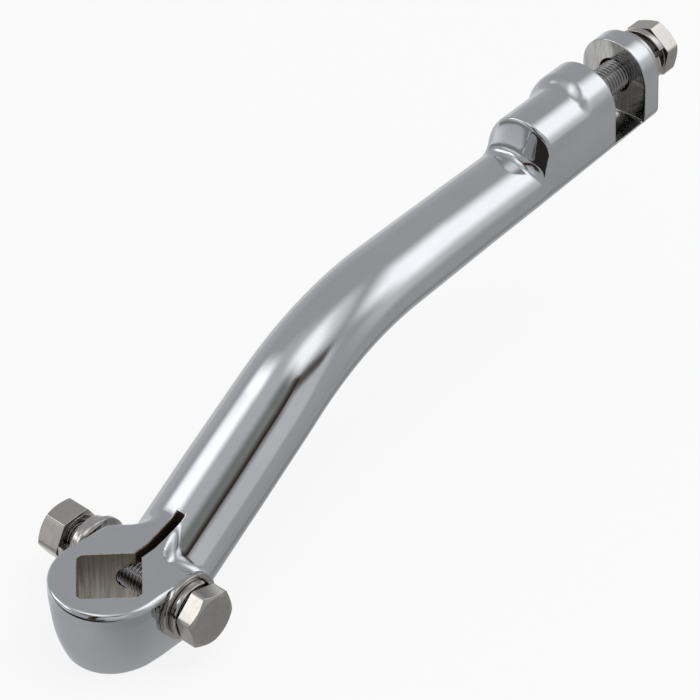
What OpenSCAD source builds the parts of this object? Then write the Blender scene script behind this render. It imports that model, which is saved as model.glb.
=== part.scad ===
// Kickstart lever: one forged arm with a clamped square-socket hub, a pinch bolt set and a pedal pivot bolt.
// Frame: origin on the socket axis at the hub's inner face, Z along the socket, X along the arm, millimetres.

/* [View] */
// Which node is drawn
// Smoothness of round surfaces
curve_steps = 72; // [24:8:128]

/* [Hub] */
// Radius of the hub's rounded end at its outer face
hub_r = 17.5; // [14:0.1:24]
// Height of the hub along the socket
hub_h = 25.2; // [16:0.1:32]
// Height of the straight band under the hub's outer face
hub_band = 4.7; // [2.5:0.1:10]
// Narrowing of the hub from the band down to the foot, on the radius
hub_draft = 1.3; // [0:0.1:2]
// Height of the coned foot
hub_foot_h = 6.5; // [1:0.1:9]
// Radius of the flat inner face
hub_foot_r = 13.5; // [13:0.1:16]
// Rounding of the hub's outer rim
hub_rim_r = 2.0; // [0.4:0.1:3]
// Rounding of the cheeks' outer rim
cheek_rim_r = 1.0; // [0.3:0.1:3]
// Distance by which the cheeks stand inside the rounded end
cheek_inset = 0.1; // [0.05:0.05:1]
// Length of the clamp cheeks from the socket axis
cheek_len = 16.4; // [12:0.1:26]
// Length over which the cheeks run into the arm
cheek_blend = 5.6; // [1:0.1:10]
// Half width between the two machined bolt seats
seat_half = 16.9; // [14:0.1:24]
// Room around a washer in its machined seat
seat_relief = 0.5; // [0.1:0.1:2]

/* [Socket] */
// Width across the flats of the square shaft
shaft_square = 18.0; // [12:0.1:26]
// Clearance on each side of the square shaft
socket_clear = 0.10; // [0.02:0.01:0.5]
// Leg of the socket's corner chamfers
socket_chamfer = 1.7; // [0.5:0.1:4]
// Width of the clamp slit
slit_w = 2.5; // [1:0.1:5]
// End of the clamp slit along the arm
slit_end = 28.6; // [20:0.1:45]

/* [Arm] */
// Rise angle of the lower arm
lower_rise = 34.5; // [0:0.5:60]
// Rise angle of the upper arm
upper_rise = 3.6; // [-10:0.1:30]
// Distance of the arm's knee from the socket axis, along X
knee_x = 92.0; // [60:0.5:140]
// Distance from the socket axis at which the arm's axis leaves the hub
foot_x = 22.0; // [10:0.5:30]
// Height at which the arm's axis leaves the hub
foot_z = 14.1; // [8:0.1:20]
// Radius of the knee's bend at the arm's axis
knee_r = 90.0; // [40:1:160]
// How far the bend's section stands over the two straight runs
bend_swell = 0.08; // [0.02:0.01:0.2]
// Angle by which the bend laps over each straight run
bend_over = 1.0; // [0.2:0.1:2]
// Half width of the arm where it leaves the hub
arm_a0 = 14.7; // [10:0.1:18]
// Half width of the arm around the knee
arm_a1 = 13.8; // [9:0.1:18]
// Half width of the arm where it meets the pedal boss
arm_a2 = 12.3; // [8:0.1:16]
// Half thickness of the arm around the knee
arm_b1 = 8.6; // [6:0.1:13]

/* [Pedal boss] */
// Start of the boss past the knee, along the upper arm
boss_u0 = 84.2; // [60:0.1:110]
// Length of the sloping face that leads up to the boss
boss_ramp = 3.4; // [1:0.1:10]
// Start of the raised collar
collar_u = 104.4; // [80:0.1:120]
// Height of the collar's step above the boss
collar_step = 1.2; // [0.2:0.1:4]
// Length of the collar's sloping face
collar_ramp = 1.4; // [0.2:0.1:4]
// Inner face of the pedal slot on the arm's side
slot_u0 = 116.8; // [95:0.1:140]
// Width of the pedal slot along the arm
slot_w = 14.4; // [8:0.1:22]
// Thickness of the end ear
ear_t = 6.5; // [4:0.1:10]
// Height of the pivot axis above the arm's axis
pivot_h = 11.2; // [6:0.1:18]
// Height of the slot's floor above the arm's axis
floor_h = -1.4; // [-4:0.1:4]
// Rise angle of the boss's underside against the upper arm
belly_rise = 2.4; // [0:0.1:6]
// Half thickness of the boss's rounded underside
belly_b = 7.2; // [5:0.1:10]

/* [Fasteners] */
// Thread diameter of both bolts
bolt_d = 9.8; // [6:0.1:14]
// Width across the flats of heads and nut
hex_af = 16.0; // [10:0.5:22]
// Thickness of the bolt heads
head_t = 5.95; // [4:0.05:9]
// Thickness of the nut
nut_t = 8.2; // [5:0.1:12]
// Edge chamfer angle of heads and nut
hex_chamfer = 27; // [15:1:40]
// Outer diameter of the flat washers
washer_od = 20.6; // [16:0.1:28]
// Thickness of the flat washers
washer_t = 1.9; // [1:0.1:3]
// Outer diameter of the spring washers
spring_od = 17.6; // [14:0.1:24]
// Thickness of the spring washer's wire
spring_t = 2.3; // [1.5:0.1:3.5]
// Gap left at the split of a spring washer, in degrees of turn
spring_gap = 8; // [2:1:30]
// Radial clearance of washers around a bolt
washer_clear = 0.35; // [0.1:0.05:1]
// Radial clearance of the nut around the pinch bolt
nut_clear = 0.05; // [0.02:0.01:0.2]
// Radial clearance of the pinch bolt in its hole
hole_clear = 0.30; // [0.1:0.05:0.6]
// Radial clearance of the pivot bolt in the ear
ear_clear = 0.70; // [0.1:0.05:1.2]
// Radial clearance of the pivot bolt in its tapped hole
tapped_clear = 0.05; // [0.02:0.01:0.2]
// Gap between touching faces
face_gap = 0.02; // [0.01:0.01:0.1]

/* [Pinch bolt] */
// Distance of the pinch bolt from the socket axis
pinch_x = 12.7; // [10:0.1:20]
// Height of the pinch bolt above the hub's inner face
pinch_z = 16.2; // [8:0.1:20]
// Turn of the pinch bolt's head
pinch_head_turn = -16.6; // [-30:0.5:30]
// Turn of the pinch nut
pinch_nut_turn = -2.4; // [-30:0.5:30]
// Free height of the spring washer under the head
pinch_head_free = 2.65; // [2.3:0.05:6]
// Free height of the spring washer under the nut
pinch_nut_free = 6.2; // [2.3:0.1:8]
// Length of bolt standing out past the nut
pinch_tail = 0.4; // [-2:0.1:8]
// Turn of the split of the spring washer under the head
head_split_turn = 60; // [0:5:355]
// Turn of the split of the spring washer under the nut
nut_split_turn = 200; // [0:5:355]

/* [Pivot bolt] */
// Turn of the pivot bolt's head
pivot_head_turn = -21; // [-30:0.5:30]
// Tilt of the loose washer on the pivot bolt
pivot_washer_tilt = 3.0; // [0:0.5:6]
// Standoff of the loose washer's middle from the ear
pivot_washer_gap = 0.65; // [0.05:0.05:2]
// Free height of the spring washer on the pivot bolt
pivot_free = 5.6; // [2.3:0.1:7]
// Turn of the split of the spring washer on the pivot bolt
pivot_split_turn = 150; // [0:5:355]
// Depth of the tapped hole in the boss
tapped_depth = 22; // [10:0.5:32]
// Room left past the end of the pivot bolt
tapped_room = 3; // [0.5:0.5:8]

/* [Hidden] */
$fn = curve_steps;
eps = 0.01;
bolt_r = bolt_d / 2;
hex_r = hex_af / sqrt(3);
socket_half = shaft_square / 2 + socket_clear;
// Arm lines: height of the knee, tangent length and length of the lower run
knee_z = foot_z + (knee_x - foot_x) * tan(lower_rise);
bend_turn = lower_rise - upper_rise;
bend_t = knee_r * tan(bend_turn / 2);
lower_len = (knee_x - cheek_len + 1) / cos(lower_rise);
arm_ratio = arm_b1 / arm_a1;
// Boss along the upper arm
slot_u1 = slot_u0 + slot_w;
seat_r = washer_od / 2 + seat_relief;
ear_u1 = slot_u1 + ear_t;
boss_drop = pivot_h - collar_step;
// Pinch stack, outward from the two seats
head_washer_y = seat_half + face_gap;
head_spring_y = head_washer_y + washer_t + face_gap;
head_y = head_spring_y + pinch_head_free + face_gap;
nut_spring_y = head_spring_y;
nut_y = nut_spring_y + pinch_nut_free + face_gap;
// Pivot stack, outward from the ear
pivot_washer_u = ear_u1 + pivot_washer_gap;
pivot_spring_u = pivot_washer_u + washer_t + pivot_washer_gap;
pivot_head_u = pivot_spring_u + pivot_free + face_gap;

module in_lower_arm() {
    translate([knee_x, 0, knee_z]) rotate([0, -lower_rise, 0]) children();
}

module in_upper_arm() {
    translate([knee_x, 0, knee_z]) rotate([0, -upper_rise, 0]) children();
}

// Puts a shape drawn in width and height, extruded upward, along the upper arm from station u.
module along_u(u) {
    translate([u, 0, 0]) rotate([90, 0, 90]) children();
}

// Outline of the boss: round top on the given height, straight flanks, plain bottom on the arm's axis.
module boss_outline(top_h) {
    union() {
        translate([0, top_h]) circle(r = arm_a2);
        translate([-arm_a2, -1]) square([2 * arm_a2, top_h + 1]);
    }
}

// Right half of the hub's outline seen from the end: flat face, coned foot, draft, band and rounded rim.
module hub_outline(half, rim) {
    union() {
        polygon([
            [0, 0],
            [half - hub_r + hub_foot_r, 0],
            [half - hub_draft, hub_foot_h],
            [half, hub_h - hub_band],
            [half, hub_h - rim],
            [half - rim, hub_h],
            [0, hub_h]
        ]);
        translate([half - rim, hub_h - rim]) circle(r = rim);
    }
}

module hub_end() {
    rotate_extrude() hub_outline(hub_r, hub_rim_r);
}

module hub_cheeks() {
    cheek_half = hub_r - cheek_inset;
    cheek_end = cheek_len + cheek_blend;
    intersection() {
        linear_extrude(hub_h) polygon([
            [0, -hub_r],
            [cheek_len, -hub_r],
            [cheek_end, 1 - arm_a0],
            [cheek_end, arm_a0 - 1],
            [cheek_len, hub_r],
            [0, hub_r]
        ]);
        rotate([90, 0, 90]) linear_extrude(cheek_end) union() {
            hub_outline(cheek_half, cheek_rim_r);
            mirror([1, 0]) hub_outline(cheek_half, cheek_rim_r);
        }
    }
}

// Room for the two washers that bear on the hub.
module bolt_seats() {
    for (side = [-1, 1])
        on_seat(side, seat_half) cylinder(r = seat_r, h = hub_r);
}

module lower_arm() {
    in_lower_arm() rotate([0, -90, 0]) translate([0, 0, bend_t])
        scale([arm_ratio, 1, 1]) cylinder(r1 = arm_a1, r2 = arm_a0, h = lower_len - bend_t);
}

module knee_bend() {
    in_upper_arm() translate([bend_t, 0, -knee_r]) rotate([90, 0, 0]) rotate([0, 0, 90 - bend_over])
        rotate_extrude(angle = bend_turn + 2 * bend_over) translate([knee_r, 0])
            scale([arm_b1 + bend_swell, arm_a1 + bend_swell]) circle(r = 1);
}

module upper_arm() {
    in_upper_arm() translate([bend_t, 0, 0]) rotate([0, 90, 0])
        scale([arm_ratio, 1, 1]) cylinder(r1 = arm_a1, r2 = arm_a2, h = boss_u0 - bend_t);
}

// Rounded underside that runs from the arm's end to the ear, rising along the way.
module boss_belly() {
    in_upper_arm() intersection() {
        translate([boss_u0, 0, 0]) rotate([0, 90 - belly_rise, 0]) translate([0, 0, -2])
            scale([belly_b / arm_a2, 1, 1]) cylinder(r = arm_a2 - face_gap, h = ear_u1 - boss_u0 + 6);
        translate([boss_u0, -2 * arm_a2, -3 * belly_b]) cube([ear_u1 - boss_u0, 4 * arm_a2, 6 * belly_b]);
    }
}

module pedal_boss() {
    in_upper_arm() {
        along_u(boss_u0) linear_extrude(ear_u1 - boss_u0) boss_outline(boss_drop);
        along_u(collar_u) linear_extrude(ear_u1 - collar_u) boss_outline(pivot_h);
        along_u(boss_u0 - boss_ramp) translate([0, boss_drop, 0])
            cylinder(r1 = arm_a2 - 3 * boss_ramp, r2 = arm_a2, h = boss_ramp);
        along_u(collar_u - collar_ramp) translate([0, pivot_h, 0])
            cylinder(r1 = arm_a2 - 2 * collar_step, r2 = arm_a2, h = collar_ramp);
    }
}

module hex_body(height, turn) {
    intersection() {
        rotate([0, 0, turn]) cylinder(r = hex_r, h = height, $fn = 6);
        cylinder(r1 = hex_r + (height - 1.2) / tan(hex_chamfer), r2 = hex_r - 1.2, h = height);
    }
}

module forged_blank() {
    union() {
        union() {
            hub_end();
            hub_cheeks();
        }
        union() {
            union() {
                union() {
                    lower_arm();
                    knee_bend();
                }
                upper_arm();
            }
            union() {
                pedal_boss();
                boss_belly();
            }
        }
    }
}

module kick_arm() {
    color("silver") difference() {
        forged_blank();
        socket_cut();
        bolt_seats();
        translate([0, -slit_w / 2, -1]) cube([slit_end, slit_w, 3 * hub_h]);
        translate([pinch_x, 0, pinch_z]) rotate([90, 0, 0])
            cylinder(r = bolt_r + hole_clear, h = 6 * hub_r, center = true);
        in_upper_arm() {
            translate([slot_u0, -2 * arm_a2, floor_h]) cube([slot_w, 4 * arm_a2, 4 * arm_a2]);
            translate([slot_u0 - tapped_depth, 0, pivot_h]) rotate([0, 90, 0])
                cylinder(r = bolt_r + tapped_clear, h = tapped_depth + 1);
            translate([slot_u1 - 1, 0, pivot_h]) rotate([0, 90, 0])
                cylinder(r = bolt_r + ear_clear, h = ear_t + 2);
        }
    }
}

module socket_cut() {
    translate([0, 0, -1]) rotate([0, 0, 45]) intersection() {
        translate([-socket_half, -socket_half, 0]) cube([2 * socket_half, 2 * socket_half, hub_h + 2]);
        rotate([0, 0, 45]) translate([-socket_reach, -socket_reach, 0])
            cube([2 * socket_reach, 2 * socket_reach, hub_h + 2]);
    }
}
socket_reach = (2 * socket_half - socket_chamfer) / sqrt(2);

// Split washer whose ends stand one free height apart: a rectangle carried round one turn of a helix.
function helix_ring(r0, r1, t, free, gap, n) = [
    for (i = [0:n]) let (a = gap / 2 + (360 - gap) * i / n, z = (free - t) * i / n)
        for (c = [[r0, 0], [r1, 0], [r1, t], [r0, t]]) [c[0] * cos(a), c[0] * sin(a), z + c[1]]
];

module spring_washer(free, turn) {
    n = 40;
    pts = helix_ring(bolt_r + washer_clear, spring_od / 2, spring_t, free, spring_gap, n);
    sides = [
        for (i = [0:n - 1]) for (k = [0:3]) let (a = 4 * i + k, b = 4 * i + (k + 1) % 4)
            for (f = [[a, a + 4, b], [b, a + 4, b + 4]]) f
    ];
    ends = [[0, 1, 2], [0, 2, 3], [4 * n, 4 * n + 2, 4 * n + 1], [4 * n, 4 * n + 3, 4 * n + 2]];
    rotate([0, 0, turn]) polyhedron(points = pts, faces = concat(sides, ends), convexity = 6);
}

module flat_washer() {
    difference() {
        cylinder(r = washer_od / 2, h = washer_t);
        translate([0, 0, -1]) cylinder(r = bolt_r + washer_clear, h = washer_t + 2);
    }
}

// Places a stack drawn upward from a seat: side -1 is the head's side, side 1 is the nut's.
module on_seat(side, dist) {
    translate([pinch_x, side * dist, pinch_z]) rotate([-90 * side, 0, 0]) children();
}

module pinch_bolt() {
    color("darkgray") {
        on_seat(-1, head_y) hex_body(head_t, pinch_head_turn);
        on_seat(-1, head_y + 0.5) mirror([0, 0, 1]) cylinder(r = bolt_r, h = head_y + nut_y + nut_t + pinch_tail + 0.5);
    }
}

module pinch_head_spring() {
    color("gray") on_seat(-1, head_spring_y) spring_washer(pinch_head_free, head_split_turn);
}

module pinch_head_washer() {
    color("lightgray") on_seat(-1, head_washer_y) flat_washer();
}

module pinch_nut_washer() {
    color("lightgray") on_seat(1, head_washer_y) flat_washer();
}

module pinch_nut_spring() {
    color("gray") on_seat(1, nut_spring_y) spring_washer(pinch_nut_free, nut_split_turn);
}

module pinch_nut() {
    color("darkgray") on_seat(1, nut_y) difference() {
        hex_body(nut_t, -pinch_nut_turn);
        translate([0, 0, -1]) cylinder(r = bolt_r + nut_clear, h = nut_t + 2);
    }
}

// Places a stack drawn upward along the pivot axis, from station u.
module on_pivot(u) {
    in_upper_arm() translate([u, 0, pivot_h]) rotate([0, 90, 0]) children();
}

module pivot_washer() {
    color("lightgray") on_pivot(pivot_washer_u) translate([0, 0, washer_t / 2]) rotate([0, pivot_washer_tilt, 0])
        translate([0, 0, -washer_t / 2]) flat_washer();
}

module pivot_spring() {
    color("gray") on_pivot(pivot_spring_u) spring_washer(pivot_free, pivot_split_turn);
}

module pivot_bolt() {
    color("darkgray") {
        on_pivot(pivot_head_u) hex_body(head_t, pivot_head_turn);
        on_pivot(slot_u0 - tapped_depth + tapped_room)
            cylinder(r = bolt_r, h = pivot_head_u - slot_u0 + tapped_depth - tapped_room + 0.5);
    }
}

kick_arm();
pinch_bolt();
pinch_head_spring();
pinch_head_washer();
pinch_nut_washer();
pinch_nut_spring();
pinch_nut();
pivot_washer();
pivot_spring();
pivot_bolt();
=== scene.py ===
"""Kickstart lever: a chromed forging with a split clamp hub, its pinch bolt set and its pedal pivot bolt.

Sizes are in millimetres in the classes below and become metres where a mesh is made. On the arm, u runs
along it from the knee's corner, v runs across it and w runs up from the line that its sections stand on.
"""

import logging
import math
from dataclasses import dataclass, field, replace
from enum import Enum
from typing import Callable, Sequence

import bmesh
import bpy
import numpy as np
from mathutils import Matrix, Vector


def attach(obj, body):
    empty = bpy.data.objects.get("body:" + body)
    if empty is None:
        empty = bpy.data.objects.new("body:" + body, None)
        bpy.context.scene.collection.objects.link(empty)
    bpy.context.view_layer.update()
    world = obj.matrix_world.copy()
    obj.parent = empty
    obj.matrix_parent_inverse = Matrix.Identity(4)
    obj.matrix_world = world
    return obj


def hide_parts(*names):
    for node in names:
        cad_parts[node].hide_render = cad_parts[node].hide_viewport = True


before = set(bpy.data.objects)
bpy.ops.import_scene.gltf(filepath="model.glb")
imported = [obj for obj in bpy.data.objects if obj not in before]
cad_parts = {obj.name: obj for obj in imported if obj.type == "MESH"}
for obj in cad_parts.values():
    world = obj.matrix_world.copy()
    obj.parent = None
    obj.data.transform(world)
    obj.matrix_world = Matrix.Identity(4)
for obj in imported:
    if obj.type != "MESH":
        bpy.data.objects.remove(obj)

LOG = logging.getLogger("kickstart_lever")
MM = 0.001
BODY = "root"
TINY = 1e-6
RAY_REACH = 40.0
HALVINGS = 26
QUARTER = math.pi / 2

Triple = tuple[float, float, float]
Socket = bpy.types.NodeSocket


# Numbers and curves shared by the pieces.


def smooth_step(x: np.ndarray, low: float, high: float) -> np.ndarray:
    """Eases from 0 at low to 1 at high: three t squared less two t cubed."""
    t = np.clip((x - low) / (high - low), 0.0, 1.0)
    return t * t * (3.0 - 2.0 * t)


@dataclass(frozen=True)
class Change:
    """A size that changes smoothly along one coordinate: its first and last values and where it runs."""

    first: float
    last: float
    start: float
    end: float

    def at(self, x: np.ndarray) -> np.ndarray:
        """The size at x: the first value plus the eased share of the difference."""
        return self.first + (self.last - self.first) * smooth_step(x, self.start, self.end)


def smooth_min(a: np.ndarray, b: np.ndarray, k: np.ndarray | float) -> np.ndarray:
    """Joins two distances with a fillet: the smaller one less a quarter of the squared overlap over k.

    Args:
        a: First distance field.
        b: Second distance field.
        k: Width over which the two run together.

    Returns:
        The joined distance field.
    """
    k = np.maximum(k, TINY)
    h = np.maximum(k - np.abs(a - b), 0.0) / k
    return np.minimum(a, b) - h * h * k * 0.25


def smooth_max(a: np.ndarray, b: np.ndarray, k: np.ndarray | float) -> np.ndarray:
    """Cuts one distance by another with a rounded edge: the smooth smaller one with the signs turned."""
    return -smooth_min(-a, -b, k)


def rounded_pair(a: np.ndarray, b: np.ndarray, radius: np.ndarray) -> np.ndarray:
    """Distance inside two faces with a round edge between them: the corner's distance less the radius."""
    a, b = a + radius, b + radius
    return np.minimum(np.maximum(a, b), 0) + np.hypot(np.maximum(a, 0), np.maximum(b, 0)) - radius


def oval_distance(v: np.ndarray, w: np.ndarray, a: np.ndarray, b: np.ndarray) -> np.ndarray:
    """Near distance to an oval: the scaled radius times its excess over 1, over the length of its gradient.

    Args:
        v: Sideways coordinate.
        w: Upward coordinate.
        a: Half width.
        b: Half height.

    Returns:
        Signed distance, negative inside.
    """
    k0 = np.sqrt((v / a) ** 2 + (w / b) ** 2)
    k1 = np.sqrt((v / a**2) ** 2 + (w / b**2) ** 2)
    return k0 * (k0 - 1.0) / np.maximum(k1, TINY)


def leaning_plane(along: np.ndarray, up: np.ndarray, degrees: float) -> np.ndarray:
    """Distance before a plane across the arm that leans back from upright by 90 degrees less the angle."""
    lean = math.radians(degrees)
    return -(along * math.sin(lean) - up * math.cos(lean))


def quarter_arc(count: int) -> tuple[np.ndarray, np.ndarray]:
    """Sines, and 1 less the cosines, over a quarter turn: how far a round edge runs along and away."""
    turn = np.linspace(0, QUARTER, count)
    return np.sin(turn), 1 - np.cos(turn)


def weighted_angles(count: int, peaks: Sequence[Triple]) -> np.ndarray:
    """Spreads angles over a half turn, crowded at peaks: even steps of the sum of 1 plus bell curves.

    Args:
        count: Number of intervals.
        peaks: Triples of centre, half width and strength.

    Returns:
        The angles from -90 to 90 degrees, count + 1 of them.
    """
    fine = np.linspace(-90.0, 90.0, 4001)
    density = np.ones_like(fine)
    for centre, width, strength in peaks:
        density += strength * np.exp(-(((fine - centre) / width) ** 2))
    total = np.concatenate([[0.0], np.cumsum((density[1:] + density[:-1]) / 2)])
    return np.interp(np.linspace(0.0, total[-1], count + 1), total, fine)


def solve_rays(distance: Callable[[np.ndarray], np.ndarray], shape: tuple[int, int]) -> np.ndarray:
    """Finds how far each ray goes before it leaves the solid, by halving the interval again and again.

    Args:
        distance: Distance field along the rays, given their lengths.
        shape: Rows and columns of rays.

    Returns:
        The lengths of the rays.
    """
    near, far = np.zeros(shape), np.full(shape, RAY_REACH)
    for _ in range(HALVINGS):
        mid = (near + far) / 2
        hit = distance(mid) < 0
        near, far = np.where(hit, mid, near), np.where(hit, far, mid)
    return (near + far) / 2


# Meshes from grids.


@dataclass(frozen=True)
class Seat:
    """A place on the lever: an origin and an outward axis, with a side direction for turns."""

    origin: Triple
    axis: Triple
    side: Triple

    def place(self, points: np.ndarray) -> np.ndarray:
        """Turns points drawn along Z so that Z runs along the axis from the origin.

        Args:
            points: Points in the piece's own frame.

        Returns:
            The points in the lever's frame.
        """
        z = np.array(self.axis, float)
        z /= np.linalg.norm(z)
        x = np.array(self.side, float)
        x -= z * (x @ z)
        x /= np.linalg.norm(x)
        y = np.cross(z, x)
        return np.array(self.origin) + points[..., :1] * x + points[..., 1:2] * y + points[..., 2:] * z


@dataclass
class Patch:
    """A grid of points, rows by columns by 3, in millimetres, with the material slot that it takes."""

    points: np.ndarray
    wrap_columns: bool = True
    wrap_rows: bool = False
    cap_start: bool = False
    cap_end: bool = False
    slot: int = 0

    def placed(self, seat: Seat) -> "Patch":
        """The same grid in its place on the lever."""
        return replace(self, points=seat.place(self.points))

    def faces(self, first: int) -> list[tuple[int, ...]]:
        """Lists the grid's quads and its end caps. Columns run anticlockwise seen from the last row.

        Args:
            first: Number of the patch's first vertex.

        Returns:
            The faces as tuples of vertex numbers.
        """
        m, n = self.points.shape[:2]
        ids = first + np.arange(m * n).reshape(m, n)
        r0, r1 = (ids, np.roll(ids, -1, 0)) if self.wrap_rows else (ids[:-1], ids[1:])
        if self.wrap_columns:
            quads = np.stack([r0, np.roll(r0, -1, 1), np.roll(r1, -1, 1), r1], -1)
        else:
            quads = np.stack([r0[:, :-1], r0[:, 1:], r1[:, 1:], r1[:, :-1]], -1)
        out = [tuple(q) for q in quads.reshape(-1, 4).tolist()]
        if self.cap_start:
            out.append(tuple(ids[0][::-1].tolist()))
        if self.cap_end:
            out.append(tuple(ids[-1].tolist()))
        return out


def patches_to_object(
    name: str, patches: Sequence[Patch], merge_mm: float = 0.0, empty_slots: int = 0
) -> bpy.types.Object:
    """Puts patches into one mesh object at the origin, in metres, facing outwards.

    Args:
        name: Object's name.
        patches: Grids to put in.
        merge_mm: Distance under which neighbouring points become one, or 0 to keep all.
        empty_slots: Number of material slots to add, to be filled later.

    Returns:
        The new object, linked to the scene.
    """
    points, faces, slots, first = [], [], [], 0
    for patch in patches:
        flat = patch.points.reshape(-1, 3)
        made = patch.faces(first)
        points.append(flat)
        faces += made
        slots += [patch.slot] * len(made)
        first += len(flat)
    mesh = bpy.data.meshes.new(name)
    mesh.from_pydata((np.concatenate(points) * MM).tolist(), [], faces)
    mesh.polygons.foreach_set("material_index", np.array(slots, np.int32))
    mesh.update()
    tidy_mesh(mesh, merge_mm)
    for _ in range(empty_slots):
        mesh.materials.append(None)
    obj = bpy.data.objects.new(name, mesh)
    bpy.context.scene.collection.objects.link(obj)
    return obj


def tidy_mesh(mesh: bpy.types.Mesh, merge_mm: float) -> None:
    """Merges doubles, with the faces that they leave without area, and points all faces outwards.

    Args:
        mesh: Mesh to tidy.
        merge_mm: Distance under which points become one, or 0 for none.
    """
    bm = bmesh.new()
    bm.from_mesh(mesh)
    if merge_mm > 0:
        bmesh.ops.remove_doubles(bm, verts=bm.verts, dist=merge_mm * MM)
    bmesh.ops.recalc_face_normals(bm, faces=bm.faces)
    bm.to_mesh(mesh)
    bm.free()


def smooth_by_angle(obj: bpy.types.Object, degrees: float) -> None:
    """Shades the mesh smooth, with edges sharper than the angle kept sharp.

    Args:
        obj: Mesh object.
        degrees: Angle between faces past which an edge stays sharp.
    """
    mesh = obj.data
    mesh.polygons.foreach_set("use_smooth", np.ones(len(mesh.polygons), bool))
    mesh.set_sharp_from_angle(angle=math.radians(degrees))
    mesh.update()


def take_out(obj: bpy.types.Object, cutter: bpy.types.Object) -> None:
    """Cuts one closed mesh out of another and removes the cutter.

    Args:
        obj: Mesh to cut.
        cutter: Mesh that is taken out.
    """
    cut = obj.modifiers.new("cut", "BOOLEAN")
    cut.operation, cut.solver, cut.object = "DIFFERENCE", "EXACT", cutter
    cut.material_mode = "INDEX"
    graph = bpy.context.evaluated_depsgraph_get()
    made = bpy.data.meshes.new_from_object(obj.evaluated_get(graph))
    obj.modifiers.clear()
    old, obj.data = obj.data, made
    made.name = old.name
    bpy.data.meshes.remove(old)
    data = cutter.data
    bpy.data.objects.remove(cutter)
    bpy.data.meshes.remove(data)


def revolve(profile: np.ndarray, count: int) -> np.ndarray:
    """Carries a profile of radius and height round Z.

    Args:
        profile: Rows of (radius, height).
        count: Columns round the axis.

    Returns:
        Points, profile rows by count by 3.
    """
    a = np.linspace(0, 2 * math.pi, count, endpoint=False)
    r, z = profile[:, :1], profile[:, 1:]
    return np.stack([r * np.cos(a), r * np.sin(a), z + 0 * a], -1)


# The lever's line and its forging.


@dataclass
class LeverLine:
    """The line that the sections stand on: level through the hub, up the lower arm, round the knee, on."""

    hub_mid: float = 14.1
    foot_x: float = 22.0
    lower_deg: float = 34.5
    upper_deg: float = 3.6
    knee: tuple[float, float] = (92.0, 62.2)
    foot_radius: float = 16.0
    knee_radius: float = 90.0

    def marks(self) -> dict[str, float]:
        """Adds up the stretches of the line, each arc as its radius times its turn.

        Returns:
            Lengths from the socket's axis at which each stretch ends, and the knee's tangent length.
        """
        lo, up = math.radians(self.lower_deg), math.radians(self.upper_deg)
        foot_t = self.foot_radius * math.tan(lo / 2)
        knee_t = self.knee_radius * math.tan((lo - up) / 2)
        straight = (self.knee[0] - self.foot_x) / math.cos(lo) - foot_t - knee_t
        s1 = self.foot_x - foot_t
        s2 = s1 + self.foot_radius * lo
        s3 = s2 + straight
        s4 = s3 + self.knee_radius * (lo - up)
        return {"foot": s1, "lower": s2, "knee": s3, "upper": s4, "knee_t": knee_t}

    def corner(self) -> float:
        """Length along the line that counts as u = 0: the upper arm's start less the tangent length."""
        m = self.marks()
        return m["upper"] - m["knee_t"]

    def from_knee(self, x: np.ndarray, z: np.ndarray, degrees: float) -> tuple[np.ndarray, np.ndarray]:
        """Turns X and Z into distances along and above a line through the knee's corner.

        Args:
            x: Distances along X.
            z: Heights.
            degrees: Slope of the line.

        Returns:
            Distances along the line and above it.
        """
        slope = math.radians(degrees)
        dx, dz = x - self.knee[0], z - self.knee[1]
        return dx * math.cos(slope) + dz * math.sin(slope), -dx * math.sin(slope) + dz * math.cos(slope)

    def at(self, s: np.ndarray) -> tuple[np.ndarray, np.ndarray]:
        """Points and headings on the line: straight, arc, straight, arc, straight.

        Args:
            s: Lengths along the line from the socket's axis.

        Returns:
            Points as rows of (x, z), and headings in radians.
        """
        m = self.marks()
        lo, up = math.radians(self.lower_deg), math.radians(self.upper_deg)
        knee = np.array(self.knee)
        t_lo, t_up = np.array([math.cos(lo), math.sin(lo)]), np.array([math.cos(up), math.sin(up)])
        heading = np.interp(s, [m["foot"], m["lower"], m["knee"], m["upper"]], [0.0, lo, lo, up])
        level = np.stack([s, np.full_like(s, self.hub_mid)], -1)
        a = np.clip((s - m["foot"]) / self.foot_radius, 0, lo)
        foot = np.array([m["foot"], self.hub_mid])
        foot = foot + self.foot_radius * np.stack([np.sin(a), 1 - np.cos(a)], -1)
        start = knee - t_lo * (m["knee_t"] + m["knee"] - m["lower"])
        lower = start + (s - m["lower"])[:, None] * t_lo
        b = lo - np.clip((s - m["knee"]) / self.knee_radius, 0, lo - up)
        middle = knee - t_lo * m["knee_t"] + self.knee_radius * np.array([math.sin(lo), -math.cos(lo)])
        bend = middle + self.knee_radius * np.stack([-np.sin(b), np.cos(b)], -1)
        upper = knee + (s - m["upper"] + m["knee_t"])[:, None] * t_up
        xz = np.where((s < m["foot"])[:, None], level, foot)
        xz = np.where((s > m["lower"])[:, None], lower, xz)
        xz = np.where((s > m["knee"])[:, None], bend, xz)
        return np.where((s > m["upper"])[:, None], upper, xz), heading


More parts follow.
